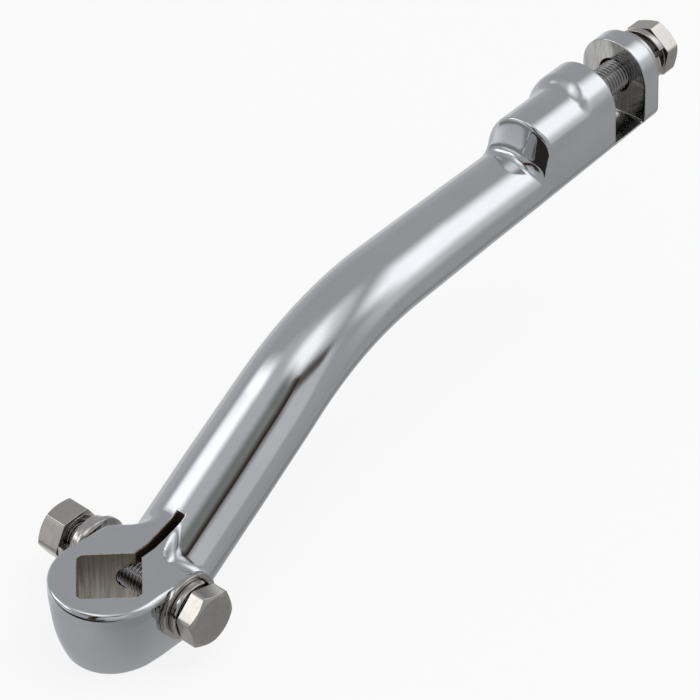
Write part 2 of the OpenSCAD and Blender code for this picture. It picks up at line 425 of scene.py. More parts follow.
@dataclass
class Forging:
    """The one-piece chromed lever: hub, oval arm, pedal boss, slot and ear."""

    line: LeverLine = field(default_factory=LeverLine)
    # Hub: its round end, the foot's cone and the clamp cheeks.
    hub_radius: float = 17.47
    hub_lean: float = 0.092
    hub_lean_top: float = 20.5
    hub_height: float = 25.2
    hub_rim: Change = Change(2.0, 1.1, -6.0, 14.0)
    hub_foot: float = 0.8
    foot_radius: float = 13.5
    foot_spread: Change = Change(0.0, 1.1, -7.0, 6.0)
    foot_lean: float = 0.44
    foot_blend: float = 2.0
    seat_half: float = 16.9
    seat_radius: float = 10.8
    seat_edge: float = 0.15
    cheek_lean: Change = Change(0.0, 0.10, 13.0, 24.0)
    cheek_corner: float = 16.4
    corner_facing: tuple[float, float] = (0.70, 0.71)
    corner_round: Change = Change(0.6, 2.8, -6.0, 14.0)
    cheek_end: float = 22.0
    cheek_top_end: Change = Change(15.5, 25.0, -7.0, 0.0)
    front_share: Change = Change(0.0, 1.0, 1.0, 9.0)
    front_round_down: Change = Change(1.2, 3.0, 0.0, 6.0)
    front_round_across: Change = Change(1.2, 3.0, -6.0, 0.0)
    crisp_rim: float = 0.35
    crisp_along: Change = Change(0.0, 1.0, 3.0, 14.0)
    crisp_across: Change = Change(1.0, 0.5, -6.0, 14.0)
    front_rim: float = 1.9
    front_along: Change = Change(0.0, 1.0, 15.0, 18.5)
    hub_fillet: Change = Change(0.0, 6.2, 11.0, 20.0)
    fillet_across: Change = Change(1.0, 0.7, 3.0, 11.0)
    # Socket, slit and the pinch bolt's hole.
    socket_half: float = 9.1
    socket_chamfer: float = 1.7
    socket_flare: float = 0.28
    slit_width: float = 2.5
    slit_start: float = 6.0
    slit_end: float = 29.3
    slit_share: Change = Change(0.94, 1.16, 14.0, 27.0)
    slit_flare: float = 0.42
    pinch_x: float = 12.7
    pinch_z: float = 16.2
    pinch_bore: float = 5.2
    # Arm: how far it stands off the middle plane, and the plane that ends it inside the hub.
    arm_off: float = 0.27
    root_x: float = 18.0
    root_facing: tuple[float, float] = (0.824, 0.566)
    root_blend: float = 2.0
    # Boss: the low top, the ramp in front of it and the collar behind it, turned in at both sides.
    boss_start: float = 60.0
    boss_fillet: Change = Change(0.4, 2.5, 2.0, 9.0)
    boss_fillet_along: Change = Change(1.0, 0.0, 84.0, 90.0)
    least_fillet: float = 0.02
    turn_near: tuple[float, float] = (0.034, 2.5)
    turn_far: tuple[float, float] = (0.012, 3.0)
    boss_radius: float = 11.75
    boss_centre: float = 9.85
    boss_off: float = 1.42
    collar_radius: float = 12.3
    collar_centre: float = 11.2
    ramp_u: float = 82.1
    ramp_w: float = 9.9
    ramp_deg: float = 75.0
    ramp_round: Change = Change(0.9, 2.1, 2.0, 9.0)
    collar_u: float = 106.0
    collar_w: float = 22.3
    collar_deg: float = 70.0
    collar_blend: float = 3.0
    collar_fillet: Change = Change(0.0, 2.2, 8.0, 16.0)
    collar_fillet_lean: float = 0.6
    # Slot, ear and the pivot bolt's holes.
    slot_u: float = 116.8
    ear_u: float = 131.2
    end_u: float = 137.7
    floor_w: float = -1.4
    floor_fillet: float = 0.8
    web_blend: float = 0.5
    pivot_w: float = 11.2
    tapped_radius: float = 5.0
    ear_bore: float = 5.6
    edge: float = 0.45
    # Grid: columns on each side, how far the rays' centres sink, and cuts kept off the rows they cross.
    half_columns: int = 96
    ray_rise: Change = Change(0.0, -4.6, 40.0, 78.0)
    off_rows: float = 0.011
    off_faces: float = 0.013

    def arm_oval(self, u: np.ndarray) -> tuple[np.ndarray, np.ndarray, np.ndarray, np.ndarray]:
        """Sizes of the arm's oval, each run straight from one measured station to the next.

        Args:
            u: Distances past the knee's corner.

        Returns:
            Half width, half height above, half height below and the middle's rise.
        """
        at = [-80.0, -55.0, -30.0, -5.0, 20.0, 45.0, 80.0, 138.0]
        wide = np.interp(u, at, [14.9, 14.8, 14.3, 13.5, 12.9, 12.6, 12.3, 12.3])
        over = np.interp(u, at, [8.6, 8.6, 8.8, 9.5, 10.2, 10.4, 9.9, 9.9])
        under = np.interp(u, at, [8.6, 8.6, 8.7, 9.0, 9.2, 9.2, 8.6, 6.5])
        rise = np.interp(u, [80.0, 138.0], [0.0, 0.8])
        return wide, over, under, rise

    def arm_field(self, u: np.ndarray, v: np.ndarray, w: np.ndarray) -> np.ndarray:
        """Distance to the arm: an oval a little off the middle, with a height of its own above and below.

        Args:
            u: Distances past the knee's corner.
            v: Sideways coordinates.
            w: Upward coordinates.

        Returns:
            Signed distance, negative inside.
        """
        wide, over, under, rise = self.arm_oval(u)
        lift = w - rise
        off = self.arm_off * np.interp(u, [-60.0, -35.0, -10.0, 20.0, 60.0], [0.08, 0.6, 1.0, 1.0, 0.0])
        return oval_distance(v + off, lift, wide + 1.1 * off, np.where(lift > 0, over, under))

    def hub_field(self, p: np.ndarray) -> np.ndarray:
        """Distance to the hub: a drafted round end and cheeks, rounded at the top rim and at the foot.

        Args:
            p: Points in the lever's frame.

        Returns:
            Signed distance, negative inside.
        """
        x, y, z = p[..., 0], p[..., 1], p[..., 2]
        half = self.hub_height / 2
        up = np.abs(z - half) - half
        inset = self.hub_lean * np.clip(self.hub_lean_top - z, 0, None)
        foot = self.foot_radius + self.foot_spread.at(x) * (y < 0) + self.foot_lean * z
        out = np.hypot(x, y)
        cone = math.hypot(1.0, self.foot_lean)
        round_end = smooth_max(out - (self.hub_radius - inset), (out - foot) / cone, self.foot_blend)
        rim = self.hub_rim.at(y)
        crisp = rim + (self.crisp_rim - rim) * self.crisp_along.at(x) * self.crisp_across.at(y)
        crisp = crisp + (self.front_rim - crisp) * self.front_along.at(x)
        cheeks = self.cheek_field(p, inset, foot)
        round_end = rounded_pair(round_end, up, np.where(z > half, rim, self.hub_foot))
        cheeks = rounded_pair(cheeks, up, np.where(z > half, crisp, self.hub_foot))
        return self.face_seats(np.minimum(round_end, cheeks), p)

    def cheek_field(self, p: np.ndarray, inset: np.ndarray, foot: np.ndarray) -> np.ndarray:
        """Distance to the clamp cheeks before their rims: drafted sides, a cut corner and a leaning front.

        Args:
            p: Points in the lever's frame.
            inset: How far the draft draws the sides in.
            foot: Half width at which the foot's cone stands.

        Returns:
            Signed distance, negative inside.
        """
        x, y, z = p[..., 0], p[..., 1], p[..., 2]
        depth = self.hub_height - z
        lean = self.cheek_lean.at(z) * np.clip(x, 0, None) * (y > 0)
        side = np.abs(y) - (self.hub_radius - lean - inset)
        cone = math.hypot(1.0, self.foot_lean)
        side = smooth_max(side, (np.abs(y) - foot) / cone, self.foot_blend)
        corner = self.corner_facing[0] * (x - self.cheek_corner) + self.corner_facing[1] * side
        reach = self.cheek_top_end.at(y)
        front = x - reach - np.maximum(self.cheek_end - reach, 0) * self.front_share.at(depth)
        front_round = np.maximum(self.front_round_down.at(depth), self.front_round_across.at(y))
        cheeks = smooth_max(side, corner, self.corner_round.at(y))
        cheeks = smooth_max(cheeks, front, front_round)
        return np.maximum(cheeks, TINY - x)

    def face_seats(self, body: np.ndarray, p: np.ndarray) -> np.ndarray:
        """Faces the washers' seats: the body less two short cylinders along the pinch bolt's line."""
        seat = np.hypot(p[..., 0] - self.pinch_x, p[..., 2] - self.pinch_z) - self.seat_radius
        return smooth_max(body, -np.maximum(seat, self.seat_half - np.abs(p[..., 1])), self.seat_edge)

    def tombstone(self, u: np.ndarray, v: np.ndarray, w: np.ndarray, size: tuple[float, float]) -> np.ndarray:
        """Distance to a tombstone along the arm: a round top over upright flanks.

        Args:
            u: Distances past the knee's corner.
            v: Sideways coordinates.
            w: Upward coordinates.
            size: The round top's radius and the height of its centre.

        Returns:
            Signed distance, negative inside.
        """
        radius, centre = size
        top = np.hypot(v, w - centre) - radius
        flank = np.abs(v) - radius
        rise = self.arm_oval(u)[3]
        return np.maximum(np.where(w > centre, top, flank), rise - w)

    def boss_field(self, u: np.ndarray, v: np.ndarray, w: np.ndarray, arm: np.ndarray) -> np.ndarray:
        """Distance to the arm with its pedal boss: a low top behind a leaning ramp, then a higher collar.

        Args:
            u: Distances past the knee's corner.
            v: Sideways coordinates.
            w: Upward coordinates.
            arm: Distance to the arm there.

        Returns:
            Signed distance, negative inside.
        """
        (near_bend, near_start), (far_bend, far_start) = self.turn_near, self.turn_far
        turned_in = near_bend * np.clip(-v - near_start, 0, None) ** 2
        turned_in = turned_in + far_bend * np.clip(v - far_start, 0, None) ** 2
        ramp = leaning_plane(u - self.ramp_u - turned_in, w - self.ramp_w, self.ramp_deg)
        full = self.tombstone(u, v, w, (self.collar_radius, self.collar_centre))
        low_top = self.tombstone(u, v + self.boss_off, w, (self.boss_radius, self.boss_centre))
        boss = smooth_max(np.maximum(low_top, full), ramp, self.ramp_round.at(v))
        step = leaning_plane(u - self.collar_u - turned_in * (v > 0), w - self.collar_w, self.collar_deg)
        collar = smooth_max(full, step, self.collar_blend)
        boss_fillet = self.boss_fillet.at(w) * self.boss_fillet_along.at(u)
        high = smooth_min(arm, boss, boss_fillet + self.least_fillet)
        collar_fillet = self.collar_fillet.at(w + self.collar_fillet_lean * np.minimum(v, 0))
        return smooth_min(high, collar, collar_fillet + self.least_fillet)

    def body_field(self, s: np.ndarray, v: np.ndarray, w: np.ndarray, p: np.ndarray) -> np.ndarray:
        """Distance to the whole forging with no slot: arm, hub and boss run together with fillets.

        Args:
            s: Lengths along the line.
            v: Sideways coordinates in the sections.
            w: Upward coordinates in the sections.
            p: The same points in the lever's frame.

        Returns:
            Signed distance, negative inside.
        """
        x, y, z = p[..., 0], p[..., 1], p[..., 2]
        near_hub = s < self.line.marks()["lower"]
        low_u, low_w = self.line.from_knee(x, z, self.line.lower_deg)
        u = np.where(near_hub, low_u, s - self.line.corner())
        arm = self.arm_field(u, v, np.where(near_hub, low_w, w))
        before_root = -(self.root_facing[0] * (x - self.root_x) + self.root_facing[1] * z)
        root = smooth_max(arm, before_root, self.root_blend)
        fillet = self.hub_fillet.at(x) * self.fillet_across.at(y)
        low = smooth_min(root, self.hub_field(p), fillet)
        low = self.face_seats(np.maximum(low, -z), p)
        return np.where(u > self.boss_start, self.boss_field(u, v, w, arm), low)

    def ray_angles(self, u: np.ndarray) -> np.ndarray:
        """Angles of each section's rays: crowded at the hub's rims low down, at the slot's floor high up.

        Args:
            u: Distances past the knee's corner, one per row.

        Returns:
            Angles in radians, rows by columns, all the way round from straight down.
        """
        hub = weighted_angles(self.half_columns, [(32.4, 4.5, 5.0), (-38.0, 10.0, 1.5)])
        slot = weighted_angles(self.half_columns, [(14.6, 3.5, 5.0), (-2.0, 12.0, 0.6), (60, 25, 0.5)])
        mix = smooth_step(u, -60.0, 60.0)[:, None]
        right = np.radians(hub * (1 - mix) + slot * mix)
        left = math.pi - right[:, ::-1]
        return np.concatenate([right[:, :-1], left[:, :-1]], 1)

    def ray_centre(self, u: np.ndarray) -> np.ndarray:
        """Height of the rays' centres: on the line along the arm, under the slot's floor at the end."""
        return self.ray_rise.at(u)

    def section_points(
        self, s: np.ndarray, centre: np.ndarray, angle: np.ndarray, length: np.ndarray
    ) -> tuple[np.ndarray, np.ndarray, np.ndarray]:
        """Turns ray lengths into section coordinates and points in the lever's frame.

        Args:
            s: Lengths along the line, one per row.
            centre: Heights of the rays' centres above the line.
            angle: Ray angles.
            length: Ray lengths.

        Returns:
            Sideways and upward coordinates, and points.
        """
        xz, heading = self.line.at(s)
        v = length * np.cos(angle)
        w = centre[:, None] + length * np.sin(angle)
        x = xz[:, :1] - w * np.sin(heading)[:, None]
        z = xz[:, 1:] + w * np.cos(heading)[:, None]
        return v, w, np.stack([x, v, z], -1)

    def body_lengths(self, u: np.ndarray, inset: np.ndarray) -> np.ndarray:
        """Ray lengths to the forging's skin, drawn in by an inset.

        Args:
            u: Distances past the knee's corner, one per row.
            inset: How far inside the skin each row lies.

        Returns:
            Ray lengths, rows by columns.
        """
        s, centre, angle = u + self.line.corner(), self.ray_centre(u), self.ray_angles(u)

        def distance(length: np.ndarray) -> np.ndarray:
            """Distance to the drawn-in skin at the given lengths along the rays."""
            v, w, p = self.section_points(s, centre, angle, length)
            return self.body_field(s[:, None], v, w, p) + inset[:, None]

        return solve_rays(distance, angle.shape)

    def web_lengths(self, u: np.ndarray, lift: np.ndarray) -> np.ndarray:
        """Ray lengths to the web under the slot: the arm's underside closed by a flat floor.

        Args:
            u: Distances past the knee's corner, one per row.
            lift: How far each row's floor stands above the slot's, in its fillets.

        Returns:
            Ray lengths, rows by columns.
        """
        s, centre, angle = u + self.line.corner(), self.ray_centre(u), self.ray_angles(u)
        floor = (self.floor_w + lift)[:, None]

        def distance(length: np.ndarray) -> np.ndarray:
            """Distance to the web at the given lengths along the rays."""
            v, w, _ = self.section_points(s, centre, angle, length)
            return smooth_max(self.arm_field(u[:, None], v, w), w - floor, self.web_blend)

        return solve_rays(distance, angle.shape)

    def edge_lengths(self, u: np.ndarray, inset: np.ndarray) -> np.ndarray:
        """Ray lengths round a wall's outer edge, never inside the web."""
        return np.maximum(self.body_lengths(u, inset), self.web_lengths(u, 0 * u))

    def wall_lengths(self, u: float) -> np.ndarray:
        """Ray lengths up one of the slot's walls, in nine even parts from the floor's fillet to the edge.

        Args:
            u: Distance of the wall past the knee's corner.

        Returns:
            Ray lengths, eight rows by columns.
        """
        inner = self.web_lengths(np.array([u]), np.array([self.floor_fillet]))
        outer = self.edge_lengths(np.array([u]), np.array([self.edge]))
        return inner + np.linspace(0, 1, 10)[1:-1, None] * (outer - inner)

    def plain_stations(self) -> np.ndarray:
        """Stations from the socket's axis to the slot's edge, closest at the ramp and the collar.

        Returns:
            Distances past the knee's corner.
        """
        m, corner = self.line.marks(), self.line.corner()
        starts = (
            (-corner, 35),
            (m["foot"] - corner, 43),
            (m["lower"] + 8.0 - corner, 109),
            (76.0, 56),
            (90.0, 11),
            (101.0, 38),
            (110.5, 7),
            (self.slot_u - self.edge, 0),
        )
        pairs = zip(starts, starts[1:])
        return np.concatenate([np.linspace(a, b, n, endpoint=False) for (a, n), (b, _) in pairs])

    def main_skin(self) -> Patch:
        """The skin from the socket's axis to the ear's end: rays solved at stations, folded at the slot.

        Returns:
            The grid, whose first row is the section through the socket's axis.
        """
        e, f = self.edge, self.floor_fillet
        sine, drop = quarter_arc(6)
        plain = self.plain_stations()
        boss_edge = self.slot_u - e + e * sine
        fillet_in = self.slot_u + f * drop
        floor = np.linspace(self.slot_u + f, self.ear_u - f, 10)[1:-1]
        fillet_out = self.ear_u - f * drop[::-1]
        ear_edge = self.ear_u + e - e * sine[::-1]
        ear = np.linspace(self.ear_u + e, self.end_u - e, 6)[1:-1]
        tip = self.end_u - e + e * sine
        closing = np.linspace(1, 0.12, 8)[1:, None]
        slot_wall, ear_wall = self.wall_lengths(self.slot_u)[::-1], self.wall_lengths(self.ear_u)
        tip_lengths = self.body_lengths(tip, e * drop)
        rows = [
            (plain, self.body_lengths(plain, 0 * plain)),
            (boss_edge, self.edge_lengths(boss_edge, e * drop)),
            (np.full(len(slot_wall), self.slot_u), slot_wall),
            (fillet_in, self.web_lengths(fillet_in, f * (1 - sine))),
            (floor, self.web_lengths(floor, 0 * floor)),
            (fillet_out, self.web_lengths(fillet_out, f * (1 - sine[::-1]))),
            (np.full(len(ear_wall), self.ear_u), ear_wall),
            (ear_edge, self.edge_lengths(ear_edge, e * drop[::-1])),
            (ear, self.edge_lengths(ear, 0 * ear)),
            (tip, tip_lengths),
            (np.full(len(closing), self.end_u), closing * tip_lengths[-1]),
        ]
        u, length = (np.concatenate(part) for part in zip(*rows))
        s = u + self.line.corner()
        points = self.section_points(s, self.ray_centre(u), self.ray_angles(u), length)[2]
        return Patch(points, cap_end=True)

    def hub_end_skin(self) -> Patch:
        """The hub's round end: the half section through the socket's axis, swept half a turn about it.

        Returns:
            The grid, from the +Y half section round to the -Y one.
        """
        n, steps = self.half_columns, 73
        angle = self.ray_angles(np.array([-self.line.corner()]))[0, : n + 1].copy()
        angle[n] = QUARTER
        turn = np.linspace(QUARTER, 3 * QUARTER, steps)[:, None]
        length = solve_rays(lambda r: self.hub_field(self.end_points(turn, angle, r)), (steps, n + 1))
        return Patch(self.end_points(turn, angle, length), wrap_columns=False)

    def end_points(self, turn: np.ndarray, angle: np.ndarray, length: np.ndarray) -> np.ndarray:
        """Points at given lengths along rays from the hub's middle.

        Args:
            turn: The rays' turn about Z.
            angle: Their angle above level.
            length: Their lengths.

        Returns:
            Points in the lever's frame.
        """
        flat = length * np.cos(angle)
        z = self.line.hub_mid + length * np.sin(angle)
        return np.stack([flat * np.cos(turn), flat * np.sin(turn), z], -1)

    def ridge_height(self, x: np.ndarray) -> np.ndarray:
        """Height of the forging's top over the middle plane, where rays straight up from the line end.

        Args:
            x: Distances along X near the hub.

        Returns:
            Heights in the lever's frame.
        """
        s = np.linspace(0, 60, 400)
        angle = np.full((len(s), 1), QUARTER)

        def distance(length: np.ndarray) -> np.ndarray:
            """Distance to the forging at the given lengths along the rays."""
            return self.body_field(s[:, None], *self.section_points(s, 0 * s, angle, length))

        top = self.section_points(s, 0 * s, angle, solve_rays(distance, angle.shape))[2][:, 0]
        return np.interp(x, top[:, 0], top[:, 2])

    def socket_cutter(self) -> Patch:
        """The square shaft's hole: a square with chamfered corners, flared by a small radius at both faces.

        Returns:
            The closed grid.
        """
        h, c, flare = self.socket_half, self.socket_chamfer / math.sqrt(2), self.socket_flare
        x, y = np.array([h, h]), np.array([c - h, h - c])
        corner = np.concatenate([np.stack(pair, -1) for pair in ((x, y), (-y, x), (-x, -y), (y, -x))])
        sides = [np.linspace(a, b, 9)[:-1] for a, b in zip(corner, np.roll(corner, -1, 0))]
        sides = np.concatenate(sides)
        outward = sides / np.hypot(sides[:, 0], sides[:, 1])[:, None]
        sine, drop = quarter_arc(5)
        z0, z1 = self.off_faces, self.hub_height - self.off_faces
        low = np.stack([flare * (1 - sine), z0 + flare * drop], -1)
        high = np.stack([flare * drop, z1 - flare * (1 - sine)], -1)
        rows = np.concatenate([[[flare * 1.6, z0 - 1]], low, high, [[flare * 1.6, z1 + 1]]])
        turn = math.radians(45)
        pts = sides[None] + rows[:, :1, None] * outward[None]
        x = pts[..., 0] * math.cos(turn) - pts[..., 1] * math.sin(turn)
        y = pts[..., 0] * math.sin(turn) + pts[..., 1] * math.cos(turn)
        z = np.broadcast_to(rows[:, 1:], x.shape)
        return Patch(np.stack([x, y, z], -1), cap_start=True, cap_end=True, slot=1)

    def slit_cutter(self) -> Patch:
        """The clamp slit: its width carried along the top's own line, flared where it leaves the skin.

        Returns:
            The closed grid.
        """
        round_end, last = 0.4, np.linspace(0, QUARTER, 5)[1:]
        straight = np.linspace(self.slit_start, self.slit_end - round_end, 60)
        x = np.concatenate([straight, self.slit_end - round_end + round_end * np.sin(last)])
        squeeze = self.slit_share.at(x)
        squeeze[-len(last):] *= np.cos(last) * 0.35 + 0.65
        top = self.ridge_height(x)
        half, flare = self.slit_width / 2, self.slit_flare
        sine, drop = quarter_arc(5)
        wide = np.concatenate([[0.0], flare * drop, [flare * 1.5]])
        below = np.concatenate([[-60.0], -flare * (1 - sine), [4.0]])
        one = np.stack([half + wide, below], -1)
        ring = np.concatenate([one, one[::-1] * [-1, 1]])
        y = ring[None, :, 0] * squeeze[:, None]
        z = np.where(ring[None, :, 1] < -50, -5.0, top[:, None] + ring[None, :, 1])
        points = np.stack([np.broadcast_to(x[:, None], y.shape), y, z], -1)
        return Patch(points, cap_start=True, cap_end=True, slot=2)

    def round_cutter(self, seat: Seat, radius: float, span: tuple[float, float], *faces: float) -> Patch:
        """A drill's path with small flares where it meets faces.

        Args:
            seat: Where the hole's axis starts and runs.
            radius: Wall radius.
            span: Distances at which the hole starts and ends.
            *faces: Distances of the faces that the hole's edge is eased at.

        Returns:
            The closed grid.
        """
        flare = ((0.0, -0.35), (0.1, -0.15), (0.3, 0.0), (0.1, 0.15), (0.0, 0.35))
        rows = [(radius, end) for end in span]
        for face in faces:
            rows += [(radius + out, face + self.off_rows + along) for out, along in flare]
        profile = np.array(sorted(rows, key=lambda row: row[1]))
        return Patch(seat.place(revolve(profile, 64)), cap_start=True, cap_end=True, slot=2)

    def up_seat(self, u: float, w: float) -> Seat:
        """The place at distance u and height w on the upper arm, looking along it.

        Args:
            u: Distance past the knee's corner.
            w: Height above the line.

        Returns:
            The seat, whose side direction is +Y.
        """
        a = math.radians(self.line.upper_deg)
        kx, kz = self.line.knee
        x = kx + u * math.cos(a) - w * math.sin(a)
        z = kz + u * math.sin(a) + w * math.cos(a)
        return Seat((x, 0.0, z), (math.cos(a), 0.0, math.sin(a)), (0.0, 1.0, 0.0))

    def build(self) -> bpy.types.Object:
        """Makes the skin, closes it over the hub's round end and takes out the socket, slit and holes.

        Returns:
            The lever as one closed object.
        """
        lever = patches_to_object("lever", [self.main_skin(), self.hub_end_skin()], 0.004, empty_slots=4)
        across = Seat((self.pinch_x, 0.0, self.pinch_z), (0.0, 1.0, 0.0), (0.0, 0.0, 1.0))
        pivot = self.up_seat(0.0, self.pivot_w)
        seats = (-self.seat_half, self.seat_half)
        cuts = {
            "socket": self.socket_cutter(),
            "slit": self.slit_cutter(),
            "pinch": self.round_cutter(across, self.pinch_bore, (-25.0, 25.0), *seats),
            "tapped": self.round_cutter(pivot, self.tapped_radius, (94.8, 120.0), self.slot_u),
            "eye": self.round_cutter(pivot, self.ear_bore, (128.0, 142.0), self.ear_u, self.end_u),
        }
        for name, patch in cuts.items():
            take_out(lever, patches_to_object(f"cut_{name}", [patch], empty_slots=4))
        tidy_mesh(lever.data, 0.001)
        self.mark_slot_walls(lever.data)
        smooth_by_angle(lever, 32.0)
        return lever

    def mark_slot_walls(self, mesh: bpy.types.Mesh) -> None:
        """Gives the slot's two walls and its floor the fourth material.

        Args:
            mesh: The lever's mesh.
        """
        count = len(mesh.polygons)
        centre, slot = np.empty(3 * count), np.empty(count, np.int32)
        mesh.polygons.foreach_get("center", centre)
        mesh.polygons.foreach_get("material_index", slot)
        centre = centre.reshape(-1, 3) / MM
        u, w = self.line.from_knee(centre[:, 0], centre[:, 2], self.line.upper_deg)
        between = (u > self.slot_u - 0.12) & (u < self.ear_u + 0.12)
        cut = between & (w > self.floor_w - 0.3) & (slot == 0)
        mesh.polygons.foreach_set("material_index", np.where(cut, 3, slot).astype(np.int32))


# Fasteners.


@dataclass
class Hexagon:
    """A hexagonal head or nut: flats, a chamfered top and softened corners, drawn upward from its seat."""

    flats: float = 16.0
    height: float = 6.2
    chamfer_deg: float = 30.0
    turn_deg: float = 0.0
    ring: float = 7.5
    face_step: float = 0.35
    soft: float = 0.16
    edge: float = 0.09

    def angles(self) -> np.ndarray:
        """Angles round the axis, crowded at the six corners.

        Returns:
            Angles in radians.
        """
        corner, flat = np.linspace(28, 30, 4), np.linspace(-28, 28, 17)[1:-1]
        part = np.concatenate([-corner[::-1], flat, corner])[:-1]
        return np.radians(np.concatenate([part + 60 * k for k in range(6)]) + self.turn_deg)

    def outline(self, angle: np.ndarray) -> np.ndarray:
        """Radius of the hexagon: half the flats over the nearest flat's cosine, clipped at the corners.

        Args:
            angle: Angles in radians.

        Returns:
            Radii. The smooth smaller of flat and corner is a log of the sum of their exponentials.
        """
        sixth, sharp = math.pi / 3, 12
        local = np.mod(angle - math.radians(self.turn_deg) + sixth / 2, sixth) - sixth / 2
        radius = self.flats / 2 / np.cos(local)
        limit = self.flats / math.sqrt(3) - self.soft
        return -np.log(np.exp(-radius * sharp) + np.exp(-limit * sharp)) / sharp

    def side_rows(self) -> tuple[np.ndarray, np.ndarray]:
        """Radii and heights from the seat up the flats and over the chamfer to the top's ring.

        Returns:
            Radii and heights, rows by angles.
        """
        r = self.outline(self.angles())
        slope = math.tan(math.radians(self.chamfer_deg))
        rise = self.height - (r - self.ring) * slope
        e, ring, low, flat = self.edge, self.ring, self.face_step, 0 * r
        rows = [
            (flat + ring - 0.2, flat + low - 0.1),
            (flat + ring, flat + low),
            (r - 2 * e, flat + low),
            (r - e, flat + low),
            (r - e * 0.3, flat + low + e * 0.3),
            (r, flat + low + e),
            (r, flat + low + 2 * e),
            (r, rise - 2 * e),
            (r, rise - e),
            (r - e * 0.3, rise - e * 0.2),
            (r - e, rise + e * slope),
            (r - 2 * e, rise + 2 * e * slope),
            (flat + ring + 2 * e, flat + self.height - 2 * e * slope),
            (flat + ring + 0.5 * e, flat + self.height - 0.5 * e * slope),
            (flat + ring - 0.5 * e, flat + self.height),
            (flat + ring - 2 * e, flat + self.height),
        ]
        return np.stack([a for a, _ in rows]), np.stack([b for _, b in rows])

    def points(self, radius: np.ndarray, height: np.ndarray) -> np.ndarray:
        """Turns radii and heights at the hexagon's angles into points."""
        angle = self.angles()
        return np.stack([radius * np.cos(angle), radius * np.sin(angle), height], -1)

    def head(self) -> Patch:
        """A solid head: bearing face, flats, chamfer and flat top.

        Returns:
            The closed grid.
        """
        radius, height = self.side_rows()
        face = np.full(radius.shape[1], self.ring - 0.2)
        radius = np.concatenate([[face * 0.3, face], radius, [radius[-1] * 0.5]])
        height = np.concatenate([[0 * face, 0 * face], height, [height[-1]]])
        return Patch(self.points(radius, height), cap_start=True, cap_end=True)

    def nut(self, bore: float) -> Patch:
        """A nut: the same outside, closed through a chamfered bore.

        Args:
            bore: Radius of the bore.

        Returns:
            The grid, closed both ways.
        """
        radius, height = self.side_rows()
        n, ease, top = radius.shape[1], 0.7, self.height
        inner = [(bore + ease, top), (bore, top - ease), (bore, ease), (bore + ease, 0.0)]
        inner.append((self.ring - 0.2, 0.0))
        radius = np.concatenate([radius, [np.full(n, a) for a, _ in inner]])
        height = np.concatenate([height, [np.full(n, b) for _, b in inner]])
        return Patch(self.points(radius, height), wrap_rows=True)


@dataclass
class Thread:
    """A rolled thread: a groove by the cosine of height less turn, a little flat on the crests."""

    outer: float = 4.9
    pitch: float = 1.25
    depth: float = 0.72
    crest_power: float = 1.2
    run_out: float = 1.2
    columns: int = 64
    rows_per_pitch: int = 16

    def shank(self, start: float, end: float, plain: float) -> Patch:
        """A closed bolt shank from its point up to its head, threaded up to a plain length under the head.

        Args:
            start: Lowest height, where the point is chamfered.
            end: Highest height, inside the head.
            plain: Length without thread at the end.

        Returns:
            The closed grid.
        """
        count = int((end - start) / self.pitch * self.rows_per_pitch)
        z = np.linspace(start, end, count)[:, None]
        a = np.linspace(0, 2 * math.pi, self.columns, endpoint=False)[None]
        wave = 0.5 - 0.5 * np.cos(2 * math.pi * (z / self.pitch - a / (2 * math.pi)))
        threaded = 1 - smooth_step(z, end - plain - self.run_out, end - plain)
        groove = self.depth * wave**self.crest_power * threaded
        point = np.clip(start + 1.0 - z, 0, 1) * 0.9
        r = np.minimum(self.outer - groove, self.outer - point)
        points = np.stack([r * np.cos(a), r * np.sin(a), z + 0 * a], -1)
        return Patch(points, cap_start=True, cap_end=True, slot=1)


@dataclass
class FlatWasher:
    """A stamped flat washer with one rounded and one sharp rim."""

    outer: float = 10.3
    inner: float = 5.25
    thick: float = 1.9
    rim: float = 0.35

    def patch(self) -> Patch:
        """A rounded rectangle carried round the axis.

        Returns:
            The grid, closed both ways.
        """
        t, e = self.thick, self.rim
        q = np.linspace(0, QUARTER, 5)
        top = np.stack([self.outer - e + e * np.cos(q), t - e + e * np.sin(q)], -1)
        sharp = [[self.inner, 0.15], [self.inner + 0.15, 0.0], [self.outer - 0.12, 0.0], [self.outer, 0.12]]
        profile = np.concatenate([sharp, top, [[self.inner + 0.2, t], [self.inner, t - 0.2]]])
        return Patch(revolve(profile, 96), wrap_rows=True)


@dataclass
class SpringWasher:
    """A split spring washer: a rounded square wire carried one turn up a helix."""

    outer: float = 8.8
    inner: float = 5.25
    thick: float = 2.3
    free: float = 2.7
    gap_deg: float = 8.0
    turn_deg: float = 60.0
    wire_edge: float = 0.3
    steps: int = 121

    def patch(self) -> Patch:
        """The wire's section at each angle, lifted evenly from the seat to the free height.

        Returns:
            The closed grid.
        """
        e, a, b, t = self.wire_edge, self.inner, self.outer, self.thick
        q = np.linspace(0, QUARTER, 4)
        corner = np.stack([np.cos(q), np.sin(q)], -1)[::-1] * e
        ring = np.concatenate([
            [[b - e, t - e]] + corner,
            [[b - e, e]] + corner[::-1] * [1, -1],
            [[a + e, e]] + corner * [-1, -1],
            [[a + e, t - e]] + corner[::-1] * [-1, 1],
        ])
        span = np.linspace(self.gap_deg / 2, 360 - self.gap_deg / 2, self.steps)
        angle = np.radians(span + self.turn_deg)[:, None]
        lift = np.linspace(0, self.free - t, self.steps)[:, None]
        r, z = ring[None, :, 0], ring[None, :, 1] + lift
        pts = np.stack([r * np.cos(angle), r * np.sin(angle), z + 0 * angle], -1)
        return Patch(pts, cap_start=True, cap_end=True)


